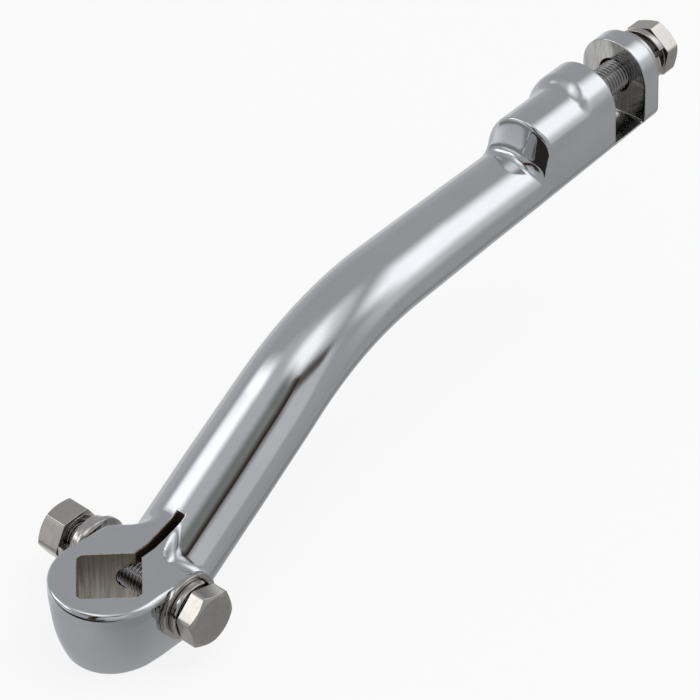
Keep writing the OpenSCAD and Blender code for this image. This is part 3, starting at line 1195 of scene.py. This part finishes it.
@dataclass
class FastenerSet:
    """Both bolts, the nut and all six washers, stacked on their seats."""

    forging: Forging
    bolt_radius: float = 4.9
    thread_room: float = 0.05
    into_head: float = 0.4
    plain_shank: float = 4.0
    head: float = 5.95
    nut: float = 8.55
    washer: float = 1.9
    gap: float = 0.02
    pinch_head_free: float = 2.65
    pinch_nut_free: float = 6.2
    pinch_tail: float = 0.04
    pinch_head_turn: float = 13.4
    pinch_nut_turn: float = 27.6
    pivot_head_turn: float = 9.0
    pivot_gap: float = 0.65
    pivot_free: float = 5.6
    pivot_tilt: float = 3.0
    tapped_depth: float = 22.0
    tapped_room: float = 3.0

    def pinch_seat(self, side: int, out: float) -> Seat:
        """A seat on the pinch bolt's line: side -1 is the head's, side 1 the nut's."""
        f = self.forging
        return Seat((f.pinch_x, side * out, f.pinch_z), (0.0, float(side), 0.0), (1.0, 0.0, 0.0))

    def pivot_seat(self, u: float) -> Seat:
        """A seat on the pivot bolt's line at distance u."""
        return self.forging.up_seat(u, self.forging.pivot_w)

    def tilted(self, seat: Seat) -> Seat:
        """The same seat leaning a little, as a loose washer hangs."""
        a = math.radians(self.forging.line.upper_deg - self.pivot_tilt)
        return Seat(seat.origin, (math.cos(a), 0.0, math.sin(a)), seat.side)

    def bolt(self, seat: Seat, turn_deg: float, length: float) -> list[Patch]:
        """A hex bolt on its seat.

        Args:
            seat: Where the head bears, looking out of the head.
            turn_deg: Turn of the head about its axis.
            length: How far the shank reaches below the seat.

        Returns:
            The head's grid and the shank's.
        """
        head = Hexagon(height=self.head, turn_deg=turn_deg).head()
        shank = Thread(self.bolt_radius).shank(-length, self.into_head, self.plain_shank)
        return [head.placed(seat), shank.placed(seat)]

    def spring(self, seat: Seat, free: float, turn_deg: float) -> list[Patch]:
        """A spring washer on its seat, open to its free height, with its split turned about the axis."""
        return [SpringWasher(free=free, turn_deg=turn_deg).patch().placed(seat)]

    def build(self) -> dict[str, bpy.types.Object]:
        """Makes each fastener as a closed object in its place.

        Returns:
            Objects by the name of the node that each stands for.
        """
        f, g, flat = self.forging, self.gap, FlatWasher(thick=self.washer).patch()
        washer_at = f.seat_half + g
        spring_at = washer_at + self.washer + g
        head_at = spring_at + self.pinch_head_free + g
        nut_at = spring_at + self.pinch_nut_free + g
        pinch_length = nut_at + self.nut + self.pinch_tail + head_at
        pivot_washer = f.end_u + self.pivot_gap
        pivot_spring = pivot_washer + self.washer + self.pivot_gap
        pivot_head = pivot_spring + self.pivot_free + g
        pivot_length = pivot_head - (f.slot_u - self.tapped_depth + self.tapped_room)
        nut = Hexagon(height=self.nut, turn_deg=self.pinch_nut_turn).nut(self.bolt_radius + self.thread_room)
        made = {
            "pinch_bolt": self.bolt(self.pinch_seat(-1, head_at), self.pinch_head_turn, pinch_length),
            "pinch_nut": [nut.placed(self.pinch_seat(1, nut_at))],
            "pinch_head_washer": [flat.placed(self.pinch_seat(-1, washer_at))],
            "pinch_nut_washer": [flat.placed(self.pinch_seat(1, washer_at))],
            "pinch_head_spring": self.spring(self.pinch_seat(-1, spring_at), self.pinch_head_free, 60),
            "pinch_nut_spring": self.spring(self.pinch_seat(1, spring_at), self.pinch_nut_free, 200),
            "pivot_washer": [flat.placed(self.tilted(self.pivot_seat(pivot_washer)))],
            "pivot_spring": self.spring(self.pivot_seat(pivot_spring), self.pivot_free, 150),
            "pivot_bolt": self.bolt(self.pivot_seat(pivot_head), self.pivot_head_turn, pivot_length),
        }
        out = {}
        for node, patches in made.items():
            out[node] = patches_to_object(f"{node}_made", patches, empty_slots=2)
            smooth_by_angle(out[node], 50.0)
        return out


# Finishes.


class Nodes:
    """A short way to add and link shader nodes."""

    def __init__(self, tree: bpy.types.NodeTree) -> None:
        """Keeps the tree that nodes are added to."""
        self.tree = tree

    def fill(self, socket: Socket, value: object) -> None:
        """Links an output to an input, or gives the input a value.

        Args:
            socket: The input.
            value: An output socket or a value.
        """
        if isinstance(value, Socket):
            self.tree.links.new(value, socket)
        else:
            socket.default_value = value

    def add(self, kind: str, inputs: dict | None = None, **settings) -> bpy.types.Node:
        """Adds a node, sets its properties and fills or links its inputs.

        Args:
            kind: Node type, without its common start.
            inputs: Values or output sockets by input name or number.
            **settings: Properties of the node.

        Returns:
            The node.
        """
        node = self.tree.nodes.new(f"ShaderNode{kind}")
        for key, value in settings.items():
            setattr(node, key, value)
        for key, value in (inputs or {}).items():
            self.fill(node.inputs[key], value)
        return node

    def maths(self, operation: str, *values) -> Socket:
        """Adds a Math node over the given values or sockets and returns its output."""
        return self.add("Math", dict(enumerate(values)), operation=operation).outputs[0]

    def dot(self, vector: Socket, way: Sequence[float]) -> Socket:
        """Adds a dot product with a fixed direction and returns its output."""
        return self.add("VectorMath", {0: vector, 1: tuple(way)}, operation="DOT_PRODUCT").outputs["Value"]

    def ease(self, value: Socket, low: float, high: float) -> Socket:
        """Maps a value smoothly to 0 at low and 1 at high and returns the result."""
        inputs = {"Value": value, "From Min": low, "From Max": high}
        return self.add("MapRange", inputs, interpolation_type="SMOOTHSTEP").outputs["Result"]

    def mix(self, factor: Socket, a: object, b: object) -> Socket:
        """Mixes two colours and returns the result.

        Args:
            factor: Share of the second colour.
            a: First colour or its socket.
            b: Second colour or its socket.

        Returns:
            The mixed colour.
        """
        node = self.add("Mix", data_type="RGBA")
        for index, value in ((0, factor), (6, a), (7, b)):
            self.fill(node.inputs[index], value)
        return node.outputs[2]


def rgb(r: float, g: float, b: float) -> tuple[float, float, float, float]:
    """A colour with full opacity."""
    return (r, g, b, 1.0)


def surface_marks() -> bpy.types.NodeTree:
    """Builds the group of small marks that every metal here shares: fine lines one way and soft blotches.

    Returns:
        The group, with Vector, Line Scale and Blotch Scale in, and Lines, Blotches and Height out.
    """
    group = bpy.data.node_groups.new("Metal marks", "ShaderNodeTree")
    face = group.interface
    face.new_socket("Vector", in_out="INPUT", socket_type="NodeSocketVector")
    for name, value in (("Line Scale", 900.0), ("Blotch Scale", 60.0)):
        face.new_socket(name, in_out="INPUT", socket_type="NodeSocketFloat").default_value = value
    for name in ("Lines", "Blotches", "Height"):
        face.new_socket(name, in_out="OUTPUT", socket_type="NodeSocketFloat")
    n = Nodes(group)
    given = group.nodes.new("NodeGroupInput").outputs
    out = group.nodes.new("NodeGroupOutput").inputs
    line = {"Vector": given["Vector"], "Scale": given["Line Scale"], "Detail": 3.0, "Roughness": 0.6}
    blotch = {"Vector": given["Vector"], "Scale": given["Blotch Scale"], "Detail": 4.0, "Roughness": 0.55}
    lines, blotches = n.add("TexNoise", line).outputs[0], n.add("TexNoise", blotch).outputs[0]
    height = n.maths("MULTIPLY_ADD", lines, 0.6, n.maths("MULTIPLY", blotches, 0.4))
    for name, value in (("Lines", lines), ("Blotches", blotches), ("Height", height)):
        n.fill(out[name], value)
    return group


class Way(Enum):
    """The direction that a finish's fine lines run in, as the pattern's scale on each axis."""

    ALONG_Z = (1.0, 1.0, 0.04)
    EVEN = (1.0, 1.0, 1.0)


@dataclass(frozen=True)
class MetalFinish:
    """A metal's colour, gloss and the marks on it."""

    name: str
    light: Triple
    dark: Triple
    rough: tuple[float, float]
    way: Way = Way.EVEN
    line_scale: float = 900.0
    blotch_scale: float = 60.0
    bump_mm: float = 0.004
    blotch_part: float = 0.5
    wave_mm: float = 0.0

    def material(self, marks: bpy.types.NodeTree) -> bpy.types.Material:
        """Builds the material: marks mix the two colours, spread the roughness and raise a fine bump.

        Args:
            marks: The shared group of marks.

        Returns:
            The material.
        """
        mat = bpy.data.materials.new(self.name)
        mat.use_nodes = True
        mat.diffuse_color = (*self.light, 1.0)
        mat.node_tree.nodes.clear()
        n = Nodes(mat.node_tree)
        where = n.add("TexCoord").outputs["Object"]
        turned = n.add("Mapping", {"Vector": where, "Scale": self.way.value}).outputs[0]
        found = n.add("Group", node_tree=marks)
        scales = {"Vector": turned, "Line Scale": self.line_scale, "Blotch Scale": self.blotch_scale}
        for name, value in scales.items():
            n.fill(found.inputs[name], value)
        blotches = n.maths("MULTIPLY", n.ease(found.outputs["Blotches"], 0.3, 0.7), self.blotch_part)
        lines = n.maths("MULTIPLY", n.ease(found.outputs["Lines"], 0.25, 0.75), 1 - self.blotch_part)
        part = n.maths("ADD", blotches, lines)
        colour = n.mix(part, rgb(*self.dark), rgb(*self.light))
        spread = {"Value": part, "To Min": self.rough[1], "To Max": self.rough[0]}
        rough = n.add("MapRange", spread).outputs[0]
        wave = {"Height": found.outputs["Blotches"], "Strength": 1.0, "Distance": self.wave_mm * MM}
        bump = {"Height": found.outputs["Height"], "Strength": 1.0, "Distance": self.bump_mm * MM}
        bump["Normal"] = n.add("Bump", wave).outputs[0]
        shine = {"Base Color": colour, "Metallic": 1.0, "Roughness": rough}
        shine["Normal"] = n.add("Bump", bump).outputs[0]
        n.add("OutputMaterial", {0: n.add("BsdfPrincipled", shine).outputs[0]})
        return mat


CHROME = MetalFinish(
    "polished chrome", (0.57, 0.575, 0.585), (0.53, 0.54, 0.555), (0.045, 0.075),
    line_scale=1600.0, blotch_scale=70.0, bump_mm=0.0005, blotch_part=0.7, wave_mm=0.02,
)
MACHINED = MetalFinish(
    "chrome over a milled face", (0.62, 0.62, 0.61), (0.36, 0.35, 0.34), (0.08, 0.14), Way.ALONG_Z,
    line_scale=1500.0, blotch_scale=120.0, bump_mm=0.0006, blotch_part=0.25,
)
BROACHED = MetalFinish(
    "broached steel", (0.66, 0.615, 0.55), (0.30, 0.27, 0.24), (0.34, 0.5), Way.ALONG_Z,
    line_scale=1500.0, blotch_scale=160.0, bump_mm=0.03, blotch_part=0.35,
)
BORE = MetalFinish(
    "raw cut steel", (0.26, 0.21, 0.165), (0.09, 0.068, 0.05), (0.4, 0.6),
    blotch_scale=200.0, bump_mm=0.02, blotch_part=0.4,
)
STAINLESS = MetalFinish(
    "plain stainless", (0.53, 0.51, 0.48), (0.45, 0.43, 0.405), (0.13, 0.2),
    line_scale=700.0, blotch_scale=110.0, bump_mm=0.0004, blotch_part=0.6, wave_mm=0.004,
)
THREAD = MetalFinish(
    "rolled thread", (0.42, 0.415, 0.42), (0.31, 0.305, 0.31), (0.07, 0.12),
    blotch_scale=200.0, bump_mm=0.001,
)
WASHER = MetalFinish(
    "washer steel", (0.53, 0.515, 0.50), (0.42, 0.405, 0.39), (0.1, 0.17),
    line_scale=700.0, blotch_scale=140.0, bump_mm=0.0004, blotch_part=0.6, wave_mm=0.004,
)
FINISHES = (CHROME, MACHINED, BROACHED, BORE, STAINLESS, THREAD, WASHER)


def set_slots(obj: bpy.types.Object, materials: Sequence[bpy.types.Material]) -> None:
    """Puts materials into an object's slots in order."""
    for index, mat in enumerate(materials):
        obj.data.materials[index] = mat


# Studio.


@dataclass(frozen=True)
class Card:
    """A soft panel in the studio: where it stands, how far it spreads each way and how bright it is."""

    azimuth: float
    elevation: float
    half_wide: float
    half_tall: float
    colour: Triple
    edge: float = 4.0
    tilt: float = 0.0

    def axes(self) -> tuple[np.ndarray, np.ndarray, np.ndarray]:
        """Turns the azimuth, counted anticlockwise from +X, the elevation and the tilt into directions.

        Returns:
            Unit vectors towards the card, along its width and along its height.
        """
        a, e, t = math.radians(self.azimuth), math.radians(self.elevation), math.radians(self.tilt)
        centre = np.array([math.cos(a) * math.cos(e), math.sin(a) * math.cos(e), math.sin(e)])
        side = np.cross([0, 0, 1.0], centre)
        side /= np.linalg.norm(side)
        rise = np.cross(centre, side)
        wide, tall = side * math.cos(t) + rise * math.sin(t), rise * math.cos(t) - side * math.sin(t)
        return centre, wide, tall

    def mask(self, n: Nodes, ray: Socket) -> Socket:
        """Adds the card's mask: how far a ray lies off its middle each way, as a slope, eased at the edges.

        Args:
            n: Where to add the nodes.
            ray: The ray's direction.

        Returns:
            The mask, 1 on the card and 0 off it.
        """
        centre, wide, tall = self.axes()
        ahead = n.dot(ray, centre)
        safe = n.maths("MAXIMUM", ahead, 0.01)
        mask = n.maths("GREATER_THAN", ahead, 0.05)
        for way, half in ((wide, self.half_wide), (tall, self.half_tall)):
            slope = n.maths("ABSOLUTE", n.maths("DIVIDE", n.dot(ray, way), safe))
            inner, outer = (math.tan(math.radians(half + side * self.edge)) for side in (-1, 1))
            mask = n.maths("MULTIPLY", mask, n.maths("SUBTRACT", 1.0, n.ease(slope, inner, outer)))
        return mask


@dataclass(frozen=True)
class PaintedFloorGlow:
    """A band of painted glow on the floor that only mirror rays see, a painted reflection in the chrome: over
    a stretch of one axis, in metres.
    """

    axis: str
    start: float
    end: float
    colour: Triple

    def over(self, n: Nodes, place: bpy.types.Node, under: Socket | tuple) -> Socket:
        """Mixes this painted glow over what lies before the stretch."""
        return n.mix(n.ease(place.outputs[self.axis], self.start, self.end), under, rgb(*self.colour))


@dataclass
class Studio:
    """Floor, room light, lamp and camera."""

    target: Triple = (73.62, -24.33, 74.64)
    back: Triple = (-0.5875, -0.5231, 0.6175)
    distance: float = 1000.0
    lens: float = 184.56
    lamp_place: Triple = (0.5, -0.5, 1.5)
    lamp_facing: Triple = (0.4, -0.5, 1.45)
    lamp_size: float = 1.2
    lamp_power: float = 9.0
    floor_half: float = 3000.0
    floor_z: float = -0.4
    floor_glow: float = 0.86
    room: Triple = (0.50, 0.505, 0.52)
    even: Triple = (0.62, 0.62, 0.625)
    cards: tuple[Card, ...] = (
        Card(76, -8, 26, 24, (0.60, 0.605, 0.62), 12.0),
        Card(132, 50, 16, 16, (0.66, 0.665, 0.675), 7.0),
        Card(-60, 0, 34, 20, (0.49, 0.49, 0.49), 10.0),
        Card(-42, 27, 24, 16, (0.80, 0.81, 0.82), 12.0),
        Card(150, 80, 15, 15, (0.98, 0.985, 0.99), 9.0),
        Card(-33, 50, 17, 19, (1.62, 1.64, 1.67), 11.0),
        Card(118, 31, 9, 12, (2.25, 2.27, 2.35), 6.5, -38.0),
        Card(153, 73, 11, 10, (1.62, 1.63, 1.64), 7.0),
        Card(-122, 44, 16, 16, (0.74, 0.75, 0.76), 6.0),
        Card(-134, 64, 12, 5, (0.13, 0.12, 0.11), 4.0),
        Card(-167, 35, 6, 30, (0.17, 0.08, 0.055), 1.5),
        Card(-164.5, 35, 4, 30, (0.03, 0.024, 0.02), 1.5),
        Card(172, 54, 9, 11, (0.25, 0.265, 0.25), 6.0),
        Card(139, 38, 5, 7, (2.3, 2.3, 2.28), 2.5),
        Card(150, 10, 9, 8, (0.92, 0.92, 0.92), 4.0),
        Card(-157, 3, 13, 15, (0.05, 0.045, 0.04), 4.0),
    )
    # Painted reflections: bands of glow on the floor that only mirror rays see; they light nothing.
    near_floor_glow: tuple[PaintedFloorGlow, ...] = (
        PaintedFloorGlow("Y", -0.045, -0.002, (0.535, 0.54, 0.55)),
        PaintedFloorGlow("Y", -0.05, -0.085, (0.47, 0.47, 0.47)),
        PaintedFloorGlow("Y", 0.022, 0.045, (0.76, 0.76, 0.76)),
    )
    far_floor_glow: tuple[PaintedFloorGlow, ...] = (
        PaintedFloorGlow("X", -0.085, -0.01, (1.0, 1.02, 1.06)),
        PaintedFloorGlow("X", -0.085, -0.12, (0.30, 0.30, 0.31)),
        PaintedFloorGlow("Y", 0.10, 0.084, (1.2, 1.21, 1.22)),
    )

    def camera(self) -> None:
        """Sets up the camera at the photograph's place and angle."""
        data = bpy.data.cameras.new("camera")
        data.lens, data.sensor_width = self.lens, 36.0
        data.clip_start, data.clip_end = 0.05, 30.0
        cam = bpy.data.objects.new("camera", data)
        back = Vector(self.back).normalized()
        cam.location = (Vector(self.target) + back * self.distance) * MM
        cam.rotation_mode = "QUATERNION"
        cam.rotation_quaternion = (-back).to_track_quat("-Z", "Y")
        bpy.context.scene.collection.objects.link(cam)
        bpy.context.scene.camera = cam

    def world(self) -> None:
        """Builds the room: an even grey with soft panels, white where the camera looks straight at it."""
        world = bpy.data.worlds.new("studio")
        bpy.context.scene.world = world
        world.use_nodes = True
        world.node_tree.nodes.clear()
        n = Nodes(world.node_tree)
        ray = n.add("TexCoord").outputs["Generated"]
        colour = rgb(*self.room)
        for card in self.cards:
            colour = n.mix(card.mask(n, ray), colour, rgb(*card.colour))
        path = n.add("LightPath").outputs
        seen = n.mix(self.shiny_ray(n, path), rgb(*self.even), colour)
        seen = n.mix(path["Is Camera Ray"], seen, rgb(1, 1, 1))
        n.add("OutputWorld", {0: n.add("Background", {"Color": seen, "Strength": 1.0}).outputs[0]})

    def shiny_ray(self, n: Nodes, path: bpy.types.bpy_prop_collection) -> Socket:
        """Tells whether a ray comes from a mirror or from glass: the larger of the two marks."""
        return n.maths("MAXIMUM", path["Is Glossy Ray"], path["Is Transmission Ray"])

    def floor_painted_reflection(self, n: Nodes, where: Socket) -> Socket:
        """Adds the floor's painted reflection: a glow that only mirror rays see, mid grey near the lever,
        bright past its far side and near black in a patch ahead.

        Args:
            n: Where to add the nodes.
            where: Place on the floor, in metres.

        Returns:
            The painted glow.
        """
        place = n.add("SeparateXYZ", {0: where})
        x, y = place.outputs["X"], place.outputs["Y"]
        # Painted reflection: mirror rays see these glow colours, darker near the lever and paler far off.
        near, far = rgb(0.35, 0.355, 0.36), rgb(0.62, 0.63, 0.66)
        for tone in self.near_floor_glow:
            near = tone.over(n, place, near)
        for tone in self.far_floor_glow:
            far = tone.over(n, place, far)
        far_left_glow = n.maths("MULTIPLY", n.ease(y, 0.052, 0.064), n.ease(x, 0.015, -0.02))
        shown = n.mix(far_left_glow, near, far)
        # A near-black patch of painted reflection ahead of the lever.
        ahead = n.maths("MULTIPLY", n.ease(y, -0.24, -0.2), n.ease(y, 0.10, 0.07))
        ahead = n.maths("MULTIPLY", ahead, n.ease(x, -0.049, -0.056))
        return n.mix(ahead, shown, rgb(0.03, 0.026, 0.024))

    def floor(self) -> None:
        """Lays the pale floor just under the hub's inner face."""
        h, z = self.floor_half, self.floor_z
        pts = np.array([[[-h, -h, z], [h, -h, z]], [[-h, h, z], [h, h, z]]])
        obj = patches_to_object("floor", [Patch(pts, wrap_columns=False)])
        if obj.data.polygons[0].normal.z < 0:
            obj.data.flip_normals()
        mat = bpy.data.materials.new("floor")
        mat.use_nodes = True
        mat.node_tree.nodes.clear()
        n = Nodes(mat.node_tree)
        where = n.add("TexCoord").outputs["Object"]
        cloud = n.add("TexNoise", {"Vector": where, "Scale": 3.0, "Detail": 2.0}).outputs[0]
        pale = n.mix(cloud, rgb(0.80, 0.80, 0.81), rgb(0.83, 0.83, 0.835))
        path = n.add("LightPath").outputs
        shiny = self.shiny_ray(n, path)
        # Mirror rays see the floor's painted reflection glow instead of white.
        shown = n.mix(shiny, rgb(1, 1, 1), self.floor_painted_reflection(n, where))
        plain = n.add("BsdfDiffuse", {"Color": pale}).outputs[0]
        glow = n.add("Emission", {"Color": shown, "Strength": 1.0}).outputs[0]
        part = n.maths("MAXIMUM", n.maths("MULTIPLY", path["Is Camera Ray"], self.floor_glow), shiny)
        both = n.add("MixShader", {0: part, 1: plain, 2: glow}).outputs[0]
        n.add("OutputMaterial", {0: both})
        obj.data.materials.append(mat)

    def lamp(self) -> None:
        """Hangs one broad soft lamp over the lever for its shadow."""
        data = bpy.data.lights.new("soft lamp", "AREA")
        data.shape, data.size, data.size_y = "RECTANGLE", self.lamp_size, self.lamp_size
        data.energy = self.lamp_power
        lamp = bpy.data.objects.new("soft lamp", data)
        lamp.location = self.lamp_place
        lamp.rotation_mode = "QUATERNION"
        lamp.rotation_quaternion = Vector(self.lamp_facing).to_track_quat("Z", "Y")
        lamp.visible_glossy = False
        bpy.context.scene.collection.objects.link(lamp)

    def build(self) -> None:
        """Makes the camera, the room, the floor and the lamp."""
        scene = bpy.context.scene
        scene.view_settings.view_transform = "Standard"
        self.camera()
        self.world()
        self.floor()
        self.lamp()


def main() -> None:
    """Builds the lever, its fasteners and the studio in order."""
    logging.basicConfig(level=logging.INFO, format="%(message)s")
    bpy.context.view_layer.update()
    marks = surface_marks()
    made = {finish.name: finish.material(marks) for finish in FINISHES}
    forging = Forging()
    lever = forging.build()
    set_slots(lever, [made[finish.name] for finish in (CHROME, BROACHED, BORE, MACHINED)])
    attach(lever, BODY)
    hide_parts("kick_arm")
    LOG.info("lever: %d faces", len(lever.data.polygons))
    for node, obj in FastenerSet(forging).build().items():
        first = made[WASHER.name] if "washer" in node or "spring" in node else made[STAINLESS.name]
        set_slots(obj, [first, made[THREAD.name]])
        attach(obj, BODY)
        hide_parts(node)
        LOG.info("%s: %d faces", node, len(obj.data.polygons))
    Studio().build()


if __name__ == "__main__":
    main()
